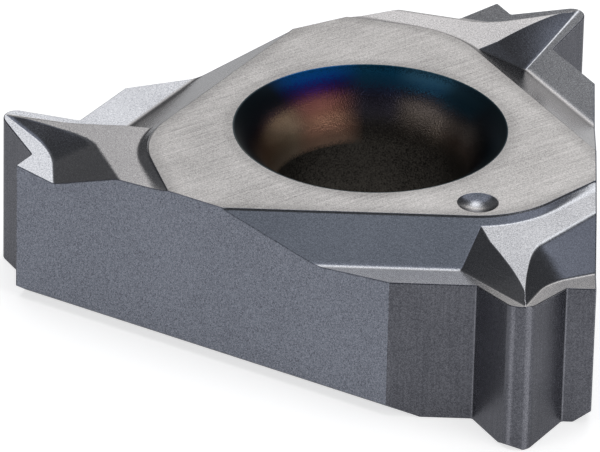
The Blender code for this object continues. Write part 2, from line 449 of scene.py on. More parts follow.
    def trough(self, points: np.ndarray) -> tuple[np.ndarray, np.ndarray]:
        """Height of the trough's swept wall, and how far its upper edge is rounded."""
        distance, share, foot = self.trough_bend.measure(points)
        crest = self.edge_blend + (self.trough_crest_blend - self.edge_blend) * share
        return self.rake(foot[:, 1]) + self.trough_slope(share) * distance, crest

    def height(self, points: np.ndarray) -> np.ndarray:
        """Height that this corner leaves, over the whole plan."""
        y = points[:, 1]
        rake = self.rake(y)
        fall = -self.slope * (-y - self.land_edge)
        wall = self.wall(points)
        foot = np.where(wall > fall, self.wall_foot_blend, self.valley_blend)
        before = smooth_max(smooth_max(fall, wall, self.slope_wall_blend), rake, foot)
        ridge = smooth_max(self.ridge(y), self.step(points), self.step_foot_blend)
        trough, crest = self.trough(points)
        after = smooth_max(rake, trough, self.trough_foot_blend)
        pressed = smooth_min(smooth_min(before, ridge, self.edge_blend), after, crest)
        return np.maximum(pressed - self.lip_height, -self.lip_slope * self.land_bend.measure(points)[0])

    def creases(self) -> list[tuple[np.ndarray, np.ndarray, tuple[float, ...]]]:
        """Lines that the mesh follows.

        Returns:
            For each line its points, the unit vectors across it, and the offsets of its rows.
        """
        reach = 2 * self.blank.apothem
        rows, step = self.rows, self.rows.step
        lines = []
        points, normals, share = self.land_bend.trace(reach, reach, step)
        lines.append((points, normals, rows.land))
        width = self.step_widths(share)[:, None]
        bent = share > 0.0
        lines.append(((points + normals * width)[bent], normals[bent], rows.foot))
        valley = spaced(np.array([-reach, -self.valley]), self.wall_start, step)
        lines.append((valley, np.tile([0.0, 1.0], (len(valley), 1)), rows.valley))
        run = np.linspace(*rows.wall_span, rows.wall_points)[:, None]
        across = np.array([-self.wall_run[1], self.wall_run[0]])
        foot = self.wall_start + self.wall_run * run
        sideways = np.tile(across, (len(foot), 1))
        lines.append((foot, sideways, rows.foot))
        tilt = math.tan(self.rake_angle) + math.tan(self.ridge_fall)
        rise = self.ridge(foot[:, 1]) - self.rake(foot[:, 1])
        crest = rise / (self.wall_steepness(run[:, 0]) - tilt * across[1])
        lines.append((foot + across * crest[:, None], sideways, rows.crest))
        junction = spaced(self.wall_start, self.wall_start + self.junction_run, step)
        away = unit(np.array([self.junction_run[1], -self.junction_run[0]]))
        lines.append((junction, np.tile(away, (len(junction), 1)), rows.junction))
        lead = reach / 3
        points, normals, share = self.trough_bend.trace(lead, lead, step)
        lines.append((points, normals, rows.trough))
        rise = self.ridge(points[:, 1]) - self.rake(points[:, 1])
        crest = rise / (self.trough_slope(share) - math.tan(self.ridge_fall) * normals[:, 1])
        lines.append((points + normals * crest[:, None], normals, rows.crest))
        return lines


@dataclass(frozen=True)
class IndexDimple:
    """Round dimple in the top land that tells the corners apart."""

    breaker: ChipBreaker = ChipBreaker()
    from_tooth_axis: float = 0.94
    from_land_edge: float = 0.57
    radius: float = 0.43
    depth: float = 0.125
    blend: float = 0.012
    rim_guard: float = 0.02
    ring_shares: tuple[float, ...] = (0.86, 0.74, 0.62, 0.5, 0.38, 0.26, 0.14)
    ring_points: int = 64

    @property
    def place(self) -> np.ndarray:
        """Middle of the dimple in plan."""
        axis = self.breaker.blank.apothem - self.breaker.tooth.from_side
        return np.array([axis - self.from_tooth_axis, self.from_land_edge - self.breaker.land_edge])

    @property
    def ball(self) -> float:
        """Radius of the ball that pressed it."""
        return (self.radius ** 2 + self.depth ** 2) / (2 * self.depth)

    def height(self, points: np.ndarray) -> np.ndarray:
        """Height of the dimple's bowl."""
        away = np.linalg.norm(points - self.place, axis=1)
        inside = np.maximum(self.ball ** 2 - away ** 2, 0.0)
        return self.ball - self.depth - np.sqrt(inside)

    def rings(self) -> list[np.ndarray]:
        """Rings of points that the mesh follows, from the rim to the middle."""
        radii = [self.radius + self.rim_guard, self.radius, self.radius - self.rim_guard]
        radii += [self.radius * share for share in self.ring_shares]
        angles = np.arange(self.ring_points) * math.tau / self.ring_points
        ring = np.stack([np.cos(angles), np.sin(angles)], 1)
        return [self.place + radius * ring for radius in radii]


@dataclass(frozen=True)
class ScrewHole:
    """Through hole with a rounded countersink, turned about the insert's axis."""

    radius: float = 2.02
    seat_radius: float = 2.88
    seat_depth: float = 1.45
    rim_radius: float = 0.10
    foot_radius: float = 0.08
    segments: int = 160
    rim_rows: int = 6
    seat_rows: int = 40
    bore_rows: int = 19
    foot_rows: int = 5

    @property
    def bend(self) -> float:
        """Radius of the countersink's rounded wall."""
        wide = self.seat_radius - self.radius
        return (wide ** 2 + self.seat_depth ** 2) / (2 * wide)

    @property
    def rim_slope(self) -> float:
        """Angle by which the countersink falls away at the rim."""
        return math.pi / 2 - math.asin(self.seat_depth / self.bend)

    @property
    def rim(self) -> float:
        """Distance from the axis at which the rim's rounding meets the top land."""
        return self.seat_radius + self.rim_radius * math.tan(self.rim_slope / 2)

    @property
    def foot(self) -> float:
        """Distance from the axis at which the lower edge's rounding meets the seat face."""
        return self.radius + self.foot_radius

    def profile(self, thickness: float) -> list[tuple[float, float, float, float]]:
        """Half section from the top land down to the seat face.

        Args:
            thickness: Thickness of the insert.

        Returns:
            Distance from the axis, height, and the outward unit vector in the section, for each ring.
        """
        section = []
        for share in np.linspace(0.0, 1.0, self.rim_rows + 1):
            angle = self.rim_slope * share
            outward, upward = -math.sin(angle), math.cos(angle)
            reach = self.rim + self.rim_radius * outward
            section.append((reach, self.rim_radius * (upward - 1), outward, upward))
        start = math.pi / 2 - self.rim_slope
        for share in np.linspace(0.0, 1.0, self.seat_rows + 1)[1:]:
            angle = start * (1 - share)
            reach = self.radius + self.bend * (1 - math.cos(angle))
            height = self.bend * math.sin(angle) - self.seat_depth
            section.append((reach, height, -math.cos(angle), math.sin(angle)))
        low = self.foot_radius - thickness
        for height in np.linspace(-self.seat_depth, low, self.bore_rows + 1)[1:]:
            section.append((self.radius, height, -1.0, 0.0))
        for share in np.linspace(0.0, 1.0, self.foot_rows + 1)[1:]:
            angle = math.pi / 2 * share
            outward, upward = -math.cos(angle), -math.sin(angle)
            reach = self.foot + self.foot_radius * outward
            section.append((reach, low + self.foot_radius * upward, outward, upward))
        return section


@dataclass
class Skin:
    """Vertices, faces and finishes gathered for one mesh."""

    places: list[np.ndarray] = field(default_factory=list)
    normals: list[np.ndarray] = field(default_factory=list)
    faces: list[tuple[int, ...]] = field(default_factory=list)
    regions: list[int] = field(default_factory=list)
    count: int = 0

    def add(self, places: np.ndarray, normals: np.ndarray) -> np.ndarray:
        """Adds vertices and returns their numbers."""
        self.places.append(places)
        self.normals.append(normals)
        numbers = np.arange(self.count, self.count + len(places))
        self.count += len(places)
        return numbers

    def face(self, corners: tuple[int, ...], region: int) -> None:
        """Adds one face."""
        self.faces.append(tuple(int(corner) for corner in corners))
        self.regions.append(region)

    def band(self, upper: np.ndarray, lower: np.ndarray, regions: np.ndarray) -> None:
        """Adds a closed band of quads between two rings that run the same way."""
        for index in range(len(upper)):
            after = (index + 1) % len(upper)
            corners = (upper[index], lower[index], lower[after], upper[after])
            self.face(corners, int(regions[index]))

    def mesh(self, name: str, shift: np.ndarray, materials: list[bpy.types.Material],
             gap: Surface) -> bpy.types.Mesh:
        """Makes the Blender mesh.

        Args:
            name: The mesh's name.
            shift: Place of the hole's axis and of the top land in the row's frame, in millimetres.
            materials: Finishes, in the order of the regions.
            gap: Function that gives the distance of plan points from the top land's edges.

        Returns:
            The mesh, in metres.
        """
        mesh = bpy.data.meshes.new(name)
        places = np.concatenate(self.places)
        mesh.from_pydata(((places + shift) * MM).tolist(), [], self.faces)
        gaps = mesh.attributes.new(LAND_GAP, "FLOAT", "POINT")
        gaps.data.foreach_set("value", gap(places[:, :2]).astype(np.float32))
        for material in materials:
            mesh.materials.append(material)
        mesh.polygons.foreach_set("material_index", self.regions)
        mesh.shade_smooth()
        mesh.normals_split_custom_set_from_vertices(np.concatenate(self.normals).tolist())
        mesh.update()
        return mesh


@dataclass(frozen=True)
class RoundedCorner:
    """One corner of the plan outline, rounded by an arc."""

    place: np.ndarray
    back: np.ndarray
    ahead: np.ndarray
    radius: float

    @property
    def half_angle(self) -> float:
        """Half the angle between the two runs that meet here."""
        return math.acos(float(np.clip(self.back @ self.ahead, -1.0, 1.0))) / 2

    @property
    def tangent(self) -> float:
        """Distance from the corner to each end of its arc."""
        return self.radius / math.tan(self.half_angle)

    def arc(self, step: float) -> tuple[np.ndarray, np.ndarray]:
        """Points of the arc and the outward unit vector at each.

        Args:
            step: Distance between points.

        Returns:
            The points, anticlockwise round the insert, and the unit vectors.
        """
        inward = unit(self.back + self.ahead)
        centre = self.place + inward * (self.radius / math.sin(self.half_angle))
        left_turn = self.back[0] * self.ahead[1] - self.back[1] * self.ahead[0] < 0.0
        side = 1.0 if left_turn else -1.0
        sweep = math.pi - 2 * self.half_angle
        steps = max(LEAST_ARC_STEPS, math.ceil(sweep * self.radius / step))
        first = (self.place + self.back * self.tangent - centre) / self.radius
        rays = np.array([turned(first[None], side * sweep * count / steps)[0] for count in range(steps + 1)])
        return centre + rays * self.radius, rays * side


def inside_ring(points: np.ndarray, ring: np.ndarray) -> np.ndarray:
    """Tells which points lie inside a closed ring.

    Args:
        points: Plan points, one a row.
        ring: Corners of the ring.

    Returns:
        True for each point inside.
    """
    start, end = ring, np.roll(ring, -1, axis=0)
    rise = end[:, 1] - start[:, 1]
    rise = np.where(np.abs(rise) < LEAST_RISE, LEAST_RISE, rise)
    result = np.zeros(len(points), bool)
    for low in range(0, len(points), RING_BATCH):
        x, y = points[low:low + RING_BATCH, :1], points[low:low + RING_BATCH, 1:]
        spans = (start[:, 1] > y) != (end[:, 1] > y)
        crossing = start[:, 0] + (y - start[:, 1]) * (end[:, 0] - start[:, 0]) / rise
        result[low:low + RING_BATCH] = (spans & (x < crossing)).sum(axis=1) % 2 == 1
    return result


def gap_to(points: np.ndarray, others: np.ndarray) -> np.ndarray:
    """Distance from each point to the nearest of the others."""
    tree = KDTree(len(others))
    for number, (x, y) in enumerate(others):
        tree.insert((x, y, 0.0), number)
    tree.balance()
    return np.array([tree.find((x, y, 0.0))[2] for x, y in points])


@dataclass
class InsertSurface:
    """The insert's whole visible surface."""

    blank: Blank = Blank()
    tooth: Tooth = Tooth()
    breaker: ChipBreaker = ChipBreaker()
    dimple: IndexDimple = IndexDimple()
    hole: ScrewHole = ScrewHole()
    edge_radius: float = 0.025
    base_edge_radius: float = 0.02
    run_step: float = 0.035
    arc_step: float = 0.016
    grid_steps: tuple[float, ...] = (0.045, 0.09, 0.18, 0.36)
    near_reach: float = 2.5
    least_gap: float = 0.72
    guard_distance: float = 0.12
    hole_clearance: float = 0.02
    edge_clearance: float = 0.024
    merge_distance: float = 1e-7
    chamfer_rows: tuple[float, ...] = (-0.015, 0.0, 0.015)
    chamfer_step: float = 0.2
    side_tolerance: float = 0.001
    side_rows: int = 8
    edge_rows: int = 4

    def outline(self) -> tuple[np.ndarray, np.ndarray]:
        """Plan outline of the blank, anticlockwise.

        Returns:
            Its points and the outward unit vector at each.
        """
        places, radii = [], []
        for index in range(CORNERS):
            for place, radius in self.tooth.profile(self.blank):
                places.append(turned(place[None], THIRD * index)[0])
                radii.append(radius)
        corners = []
        for index, (place, radius) in enumerate(zip(places, radii)):
            back, ahead = places[index - 1] - place, places[(index + 1) % len(places)] - place
            corners.append(RoundedCorner(place, unit(back), unit(ahead), radius))
        points, normals = [], []
        for corner, following in zip(corners, corners[1:] + corners[:1]):
            arc, rays = corner.arc(self.arc_step)
            run = spaced(arc[-1], following.place + following.back * following.tangent, self.run_step)[1:-1]
            points += [arc, run]
            normals += [rays, np.tile(rays[-1], (len(run), 1))]
        return np.concatenate(points), np.concatenate(normals)

    def top_height(self, points: np.ndarray) -> np.ndarray:
        """Height of the upper surface from the top land."""
        height = np.zeros(len(points))
        for index in range(CORNERS):
            corner = self.breaker.height(turned(points, -THIRD * index))
            height = smooth_min(height, corner, self.breaker.edge_blend / 2)
        away = np.linalg.norm(points - self.dimple.place, axis=1)
        pressed = smooth_min(height, self.dimple.height(points), self.dimple.blend)
        return np.where(away < self.dimple.ball, pressed, height)

    def land_gap(self, points: np.ndarray) -> np.ndarray:
        """Distance of plan points from the nearest edge of the top land."""
        gaps = [np.linalg.norm(points, axis=1) - self.hole.rim]
        for index in range(CORNERS):
            gaps.append(-self.breaker.land_bend.measure(turned(points, -THIRD * index))[0])
        return np.min(gaps, axis=0)

    @staticmethod
    def sheet_normals(points: np.ndarray, surface: Surface, up: float) -> np.ndarray:
        """Unit vectors across a height field.

        Args:
            points: Plan points, one a row.
            surface: Function that gives the height at plan points.
            up: 1 for a surface seen from above, -1 for one seen from below.

        Returns:
            The unit vectors.
        """
        reach = 0.0015
        slopes = []
        for axis in range(2):
            shift = np.zeros(2)
            shift[axis] = reach
            slopes.append((surface(points + shift) - surface(points - shift)) / (2 * reach))
        normals = np.stack([-slopes[0], -slopes[1], np.ones(len(points))], 1)
        return up * normals / np.linalg.norm(normals, axis=1)[:, None]

    def top_rows(self) -> list[np.ndarray]:
        """Rows of points that follow the creases of the upper surface."""
        rows = []
        for index in range(CORNERS):
            for points, across, offsets in self.breaker.creases():
                rows += [turned(points + across * offset, THIRD * index) for offset in offsets]
        return rows

    def base_rows(self) -> list[np.ndarray]:
        """Rows of points that follow the foot chamfers."""
        rows = []
        inner = self.blank.apothem - self.blank.chamfer_width
        reach = self.blank.inscribed_circle
        for index in range(CORNERS):
            for offset in self.chamfer_rows:
                start, end = np.array([inner + offset, -reach]), np.array([inner + offset, reach])
                rows.append(turned(spaced(start, end, self.chamfer_step), THIRD * index))
        return rows

    def fill_points(self, fixed: np.ndarray, border: np.ndarray) -> np.ndarray:
        """Points between the rows, closer together near them.

        Args:
            fixed: Points that are there already.
            border: Outline that the points stay inside.

        Returns:
            The new points.
        """
        low, high = border.min(0), border.max(0)
        kept = fixed
        for step in self.grid_steps:
            across = np.arange(low[0], high[0], step)
            along = np.arange(low[1], high[1], step * math.sqrt(3) / 2)
            x, y = np.meshgrid(across, along)
            x = x + np.where(np.arange(len(along)) % 2 == 1, step / 2, 0.0)[:, None]
            grid = np.stack([x.ravel(), y.ravel()], 1)
            grid = grid[inside_ring(grid, border)]
            grid = grid[np.linalg.norm(grid, axis=1) > self.hole.rim]
            gap = gap_to(grid, kept)
            reach = math.inf if step == self.grid_steps[-1] else self.near_reach * step
            near = gap_to(grid, fixed) < reach
            kept = np.concatenate([kept, grid[near & (gap > self.least_gap * step)]])
        return kept[len(fixed):]

    def sheet(self, skin: Skin, border: np.ndarray, outward: np.ndarray, ring: np.ndarray,
              rows: list[np.ndarray], surface: Surface, up: float,
              finish: Surface) -> tuple[np.ndarray, np.ndarray]:
        """Adds a height field between the outline and the hole.

        Args:
            skin: Mesh that it goes into.
            border: Outer edge of the sheet in plan.
            outward: Outward unit vector at each of its points.
            ring: Inner edge of the sheet in plan.
            rows: Rows of points that the mesh follows.
            surface: Function that gives the height at plan points.
            up: 1 for a surface seen from above, -1 for one seen from below.
            finish: Function that gives the region at plan points.

        Returns:
            The numbers of the vertices along the outer edge and along the inner edge.
        """
        edge = np.concatenate([border, ring])
        loops = [np.arange(len(border)), len(border) + np.arange(len(ring))]
        links = [pair for loop in loops for pair in zip(loop, np.roll(loop, -1))]
        points, count = [edge], len(edge)
        for row in rows:
            past_hole = np.linalg.norm(row, axis=1) > self.hole.rim + self.hole_clearance
            clear = inside_ring(row, border) & past_hole
            clear[clear] = gap_to(row[clear], edge) > self.edge_clearance if clear.any() else False
            numbers = np.cumsum(clear) - 1 + count
            links += [(numbers[at], numbers[at + 1]) for at in np.flatnonzero(clear[:-1] & clear[1:])]
            points.append(row[clear])
            count += int(clear.sum())
        points = np.concatenate(points)
        guard = (border + outward * self.guard_distance)[::2]
        points = np.concatenate([points, self.fill_points(points, border), guard])
        corners = [Vector(point) for point in points.tolist()]
        pairs = [(int(first), int(second)) for first, second in links]
        made = delaunay_2d_cdt(corners, pairs, [], 0, self.merge_distance, True)
        plan = np.array([tuple(corner) for corner in made[0]])
        origin = {source: number for number, sources in enumerate(made[3]) for source in sources}
        edge_points = np.array([origin[number] for number in range(len(edge))])
        triangles = self.between(plan, np.array(made[2]), border, ring, [edge_points[loop] for loop in loops])
        middles = plan[triangles].mean(axis=1)
        used = np.unique(triangles)
        numbers = np.full(len(plan), -1)
        used_plan = plan[used]
        places = np.column_stack([used_plan, surface(used_plan)])
        numbers[used] = skin.add(places, self.sheet_normals(used_plan, surface, up))
        for triangle, region in zip(numbers[triangles], finish(middles)):
            skin.face(tuple(triangle if up > 0 else triangle[::-1]), int(region))
        return numbers[edge_points[:len(border)]], numbers[edge_points[len(border):]]

    @staticmethod
    def between(plan: np.ndarray, triangles: np.ndarray, border: np.ndarray, ring: np.ndarray,
                loops: list[np.ndarray]) -> np.ndarray:
        """Picks the triangles between the outline and the hole.

        Args:
            plan: All the points.
            triangles: Point numbers of each triangle, anticlockwise.
            border: Outer edge.
            ring: Inner edge.
            loops: Point numbers along both edges, with the sheet on their left.

        Returns:
            The triangles that belong to the sheet.
        """
        middles = plan[triangles].mean(axis=1)
        wanted = inside_ring(middles, border) & ~inside_ring(middles, ring)
        inner = np.concatenate([loop * len(plan) + np.roll(loop, -1) for loop in loops])
        outer = np.concatenate([np.roll(loop, -1) * len(plan) + loop for loop in loops])
        for corner in range(3):
            link = triangles[:, corner] * len(plan) + triangles[:, (corner + 1) % 3]
            wanted = (wanted | np.isin(link, inner)) & ~np.isin(link, outer)
        return triangles[wanted]

    def top_regions(self, points: np.ndarray) -> np.ndarray:
        """Finish of the upper surface at plan points."""
        in_dimple = np.linalg.norm(points - self.dimple.place, axis=1) < self.dimple.radius
        level = self.top_height(points) > -self.breaker.edge_blend / 4
        return np.where(level & ~in_dimple, Region.LAND.value, Region.PRESSED.value)

    def base_regions(self, points: np.ndarray) -> np.ndarray:
        """Finish of the underside at plan points."""
        reach = (points @ self.blank.side_normals().T).max(axis=1)
        level = reach < self.blank.apothem - self.blank.chamfer_width
        return np.where(level, Region.BASE.value, Region.SIDE.value)

    def side_regions(self, points: np.ndarray) -> np.ndarray:
        """Finish of the upright surface at points of the outline."""
        reach = (points @ self.blank.side_normals().T).max(axis=1)
        on_side = reach > self.blank.apothem - self.side_tolerance
        return np.where(on_side, Region.SIDE.value, Region.FLANK.value)

    def upright(self, skin: Skin, top: np.ndarray, base: np.ndarray, outline: np.ndarray,
                normals: np.ndarray) -> None:
        """Adds the rounded cutting edge, the upright flanks and faces, and the rounded foot.

        Args:
            skin: Mesh that it goes into.
            top: Vertices along the upper surface's edge.
            base: Vertices along the underside's edge.
            outline: Plan outline.
            normals: Outward unit vector at each of its points.
        """
        places = np.concatenate(skin.places)
        known = np.concatenate(skin.normals)
        outward = np.column_stack([normals, np.zeros(len(normals))])
        middles = (outline + np.roll(outline, -1, axis=0)) / 2
        # The rounded cutting edge takes the side and flank finishes, so their painted shade darkens it as
        # well.
        sides = self.side_regions(middles)
        upper, rows = top, []
        for count in range(1, self.edge_rows + 1):
            angle = math.pi / 2 * count / self.edge_rows
            plan = outline - normals * self.edge_radius * (1 - math.sin(angle))
            height = places[top, 2] - self.edge_radius * (1 - math.cos(angle))
            normal = known[top] * math.cos(angle) + outward * math.sin(angle)
            rows.append((plan, height, normal))
        high = rows[-1][1]
        low = places[base, 2] + self.base_edge_radius
        for count in range(1, self.side_rows + 1):
            share = count / self.side_rows
            rows.append((outline, high + (low - high) * share, outward))
        for count in range(1, self.edge_rows):
            angle = math.pi / 2 * count / self.edge_rows
            plan = outline - normals * self.base_edge_radius * (1 - math.cos(angle))
            height = low - self.base_edge_radius * math.sin(angle)
            normal = outward * math.cos(angle) + known[base] * math.sin(angle)
            rows.append((plan, height, normal))
        for plan, height, normal in rows:
            normal = normal / np.linalg.norm(normal, axis=1)[:, None]
            lower = skin.add(np.column_stack([plan, height]), normal)
            skin.band(upper, lower, sides)
            upper = lower
        skin.band(upper, base, sides)

    def bore(self, skin: Skin, rim: np.ndarray, foot: np.ndarray) -> None:
        """Adds the countersink and the hole between two rings of vertices.

        Args:
            skin: Mesh that it goes into.
            rim: Vertices round the hole in the top land, clockwise.
            foot: Vertices round the hole in the seat face, clockwise.
        """
        rays = self.hole_ring(1.0)
        section = self.hole.profile(self.blank.thickness)
        upper = rim
        for reach, height, outward, upward in section[1:]:
            ring = np.column_stack([rays * reach, np.full(len(rays), height)])
            normals = np.column_stack([rays * outward, np.full(len(rays), upward)])
            lower = skin.add(ring, normals) if (reach, height) != section[-1][:2] else foot
            region = Region.BORE if height < -self.hole.seat_depth else Region.SEAT
            skin.band(upper, lower, np.full(len(rays), region.value))
            upper = lower

    def hole_ring(self, reach: float) -> np.ndarray:
        """Ring of plan points about the hole's axis, clockwise."""
        angles = -np.arange(self.hole.segments) * math.tau / self.hole.segments
        return reach * np.stack([np.cos(angles), np.sin(angles)], 1)

    def build(self, name: str, shift: np.ndarray, materials: list[bpy.types.Material]) -> bpy.types.Object:
        """Makes the surface as one object.

        Args:
            name: The object's name.
            shift: Place of the hole's axis and of the top land in the row's frame, in millimetres.
            materials: Finishes, in the order of the regions.

        Returns:
            The object, linked to the scene.
        """
        skin = Skin()
        outline, normals = self.outline()
        top_border = outline - normals * self.edge_radius
        base_border = outline - normals * self.base_edge_radius
        top, rim = self.sheet(skin, top_border, normals, self.hole_ring(self.hole.rim),
                              self.top_rows() + self.dimple.rings(), self.top_height, 1.0, self.top_regions)
        base, foot = self.sheet(skin, base_border, normals, self.hole_ring(self.hole.foot),
                                self.base_rows(), self.blank.floor_height, -1.0, self.base_regions)
        self.upright(skin, top, base, outline, normals)
        self.bore(skin, rim, foot)
        made = bpy.data.objects.new(name, skin.mesh(name, shift, materials, self.land_gap))
        bpy.context.scene.collection.objects.link(made)
        log.info("%s: %d vertices, %d faces", name, skin.count, len(skin.faces))
        return made


class NodeSheet:
    """Short way to write the nodes of a material, a group or the world."""

    def __init__(self, tree: bpy.types.NodeTree) -> None:
        """Takes the tree that the nodes go into."""
        self.tree = tree

    def node(self, kind: str, inputs: dict[str | int, object] | None = None,
             **settings: object) -> bpy.types.Node:
        """Adds a node.

        Args:
            kind: The node's type.
            inputs: Values or output sockets for its inputs, by name or place.
            settings: Other properties of the node.

        Returns:
            The node.
        """
        made = self.tree.nodes.new(kind)
        for name, value in settings.items():
            setattr(made, name, value)
        for key, value in (inputs or {}).items():
            if isinstance(value, Socket):
                self.tree.links.new(value, made.inputs[key])
            else:
                made.inputs[key].default_value = value
        return made

    def math(self, operation: str, first: object, second: object = 0.0, third: object = 0.0) -> Socket:
        """Adds a Math node and returns its output."""
        return self.node("ShaderNodeMath", {0: first, 1: second, 2: third}, operation=operation).outputs[0]

    def ramp(self, value: object, stops: Bands) -> Socket:
        """Adds a colour ramp.

        Args:
            value: Input of the ramp.
            stops: Place and colour of each stop.

        Returns:
            Its colour output.
        """
        made = self.node("ShaderNodeValToRGB", {0: value})
        made.color_ramp.interpolation = "LINEAR"
        elements = made.color_ramp.elements
        for number, (place, colour) in enumerate(stops):
            stop = elements[number] if number < 2 else elements.new(place)
            stop.position = place
            stop.color = (*colour, 1.0)
        return made.outputs[0]

    def mix(self, share: object, first: object, second: object, blend: str = "MIX") -> Socket:
        """Adds a colour mix and returns its output."""
        made = self.node("ShaderNodeMix", data_type="RGBA", blend_type=blend)
        for place, value in ((0, share), (6, first), (7, second)):
            if isinstance(value, Socket):
                self.tree.links.new(value, made.inputs[place])
            else:
                made.inputs[place].default_value = value if place == 0 else (*value, 1.0)
        return made.outputs[2]

    def blend(self, share: float, first: object, second: object) -> Socket:
        """Adds a mix of two values and returns its output."""
        return self.node("ShaderNodeMix", {0: share, 2: first, 3: second}, data_type="FLOAT").outputs[0]

    def curve(self, value: object, low: float, high: float, points: Points) -> Socket:
        """Adds a curve between two limits.

        Args:
            value: Input of the curve.
            low: Value at the curve's start.
            high: Value at its end.
            points: Value and result at each point in between.

        Returns:
            Its output, from 0 to 1.
        """
        share = self.spread(value, low, high)
        stops = [((place - low) / (high - low), (result, result, result)) for place, result in points]
        return self.ramp(share, stops)

    def spread(self, value: object, low: float, high: float, new_low: float = 0.0,
               new_high: float = 1.0) -> Socket:
        """Adds a Map Range node, from 0 to 1 unless told otherwise, and returns its output."""
        inputs = {0: value, 1: low, 2: high, 3: new_low, 4: new_high}
        return self.node("ShaderNodeMapRange", inputs).outputs[0]


GroupParts = tuple[bpy.types.NodeTree, NodeSheet, bpy.types.Node, bpy.types.Node]


class Effects:
    """Shader node groups that more than one finish uses. Their lengths are in millimetres."""

    def __init__(self) -> None:
        """Builds the groups."""
        self.grain = self.make_grain()
        self.lines = self.make_lines()
        self.clouds = self.make_clouds()

    @staticmethod
    def new_group(name: str, inputs: dict[str, float], outputs: list[str]) -> GroupParts:
        """Makes an empty group with its sockets.

        Args:
            name: The group's name.
            inputs: Name and first value of each input.
            outputs: Names of the outputs.

        Returns:
            The tree, a sheet to write its nodes on, and its input and output nodes.
        """
        tree = bpy.data.node_groups.new(name, "ShaderNodeTree")
        for label, value in inputs.items():
            socket = tree.interface.new_socket(label, in_out="INPUT", socket_type="NodeSocketFloat")
            socket.default_value = value
        for label in outputs:
            tree.interface.new_socket(label, in_out="OUTPUT", socket_type="NodeSocketFloat")
        sheet = NodeSheet(tree)
        return tree, sheet, sheet.node("NodeGroupInput"), sheet.node("NodeGroupOutput")

    @staticmethod
    def place_in_mm(sheet: NodeSheet) -> Socket:
        """Adds the place on the insert, in millimetres."""
        place = sheet.node("ShaderNodeTexCoord").outputs["Object"]
        scaled = sheet.node("ShaderNodeVectorMath", {0: place, "Scale": 1 / MM}, operation="SCALE")
        return scaled.outputs[0]

    def make_grain(self) -> bpy.types.NodeTree:
        """Fine grain of pressed and sintered carbide under its coating."""
        inputs = {"Grain per mm": 22.0, "Specks per mm": 60.0}
        tree, sheet, given, result = self.new_group("pressed_grain", inputs, ["Grain", "Specks"])
        place = self.place_in_mm(sheet)
        grain = sheet.node("ShaderNodeTexNoise", {"Vector": place, "Scale": given.outputs[0], "Detail": 4.0})
        specks = sheet.node("ShaderNodeTexNoise", {"Vector": place, "Scale": given.outputs[1], "Detail": 1.0})
        tree.links.new(sheet.spread(grain.outputs["Fac"], *NOISE_SPAN), result.inputs[0])
        tree.links.new(sheet.spread(specks.outputs["Fac"], *NOISE_SPAN), result.inputs[1])
        return tree

    def make_lines(self) -> bpy.types.NodeTree:
        """Straight scratches left by a grinding wheel, stretched along one axis of the turned place."""
        inputs = {"Turn": 0.0, "X per mm": 1.0, "Y per mm": 30.0, "Z per mm": 1.0}
        tree, sheet, given, result = self.new_group("grinding_lines", inputs, ["Lines", "Bands"])
        place = self.place_in_mm(sheet)
        turn = sheet.node("ShaderNodeVectorRotate", {"Vector": place, "Angle": given.outputs[0]},
                          rotation_type="Z_AXIS")
        scale = sheet.node("ShaderNodeCombineXYZ", {axis: given.outputs[axis + 1] for axis in range(3)})
        factors = {0: turn.outputs[0], 1: scale.outputs[0]}
        fine = sheet.node("ShaderNodeVectorMath", factors, operation="MULTIPLY")
        lines = sheet.node("ShaderNodeTexNoise", {"Vector": fine.outputs[0], "Scale": 1.0, "Detail": 3.0})
        bands = sheet.node("ShaderNodeTexNoise", {"Vector": fine.outputs[0], "Scale": 0.3, "Detail": 2.0})
        tree.links.new(sheet.spread(lines.outputs["Fac"], *NOISE_SPAN), result.inputs[0])
        tree.links.new(sheet.spread(bands.outputs["Fac"], *NOISE_SPAN), result.inputs[1])
        return tree

    def make_clouds(self) -> bpy.types.NodeTree:
        """Slow changes of tone over the coating."""
        tree, sheet, given, result = self.new_group("coating_clouds", {"Clouds per mm": 0.6}, ["Clouds"])
        place = self.place_in_mm(sheet)
        clouds = sheet.node("ShaderNodeTexNoise", {"Vector": place, "Scale": given.outputs[0], "Detail": 3.0})
        tree.links.new(sheet.spread(clouds.outputs["Fac"], *NOISE_SPAN), result.inputs[0])
        return tree


